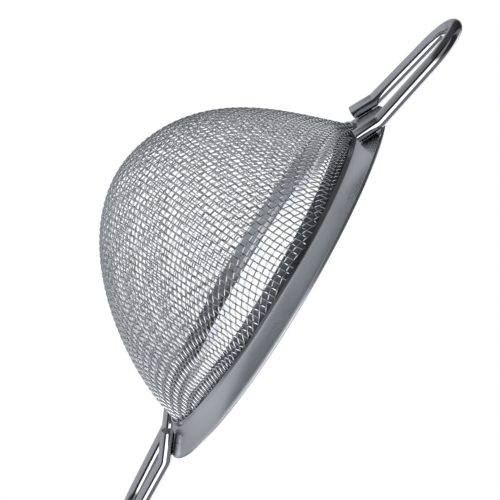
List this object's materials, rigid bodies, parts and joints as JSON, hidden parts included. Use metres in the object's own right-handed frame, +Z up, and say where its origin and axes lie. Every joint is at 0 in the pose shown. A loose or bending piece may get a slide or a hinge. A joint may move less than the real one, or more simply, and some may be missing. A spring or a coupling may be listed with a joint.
{
  "type": "honey strainer",
  "caption": "Deep woven-wire bowl strainer clamped in a shallow conical rim, with U-shaped wire rests that carry it over a bucket.",
  "frame": {"origin": "middle of the bottom of the bounding box, level with the lowest point of the lower rest, with the strainer standing mouth down", "axes": "+Z up, from the open mouth to the bowl's tip; +X along the rests, towards the side the bowl's tip leans to; +Y across the rests; the plane y = 0 is the mirror plane"},
  "size_m": [0.197, 0.126, 0.066],
  "materials": {
    "pressed_steel": "bright pressed stainless steel sheet",
    "woven_wire": "plain drawn stainless steel wire, woven",
    "rest_wire": "bright drawn stainless steel wire"
  },
  "bodies": {
    "root": {"outer_ring": "pressed_steel", "inner_ring": "pressed_steel", "mesh_bowl": "woven_wire", "right_rest": "rest_wire", "left_rest": "rest_wire"}
  },
  "joints": []
}
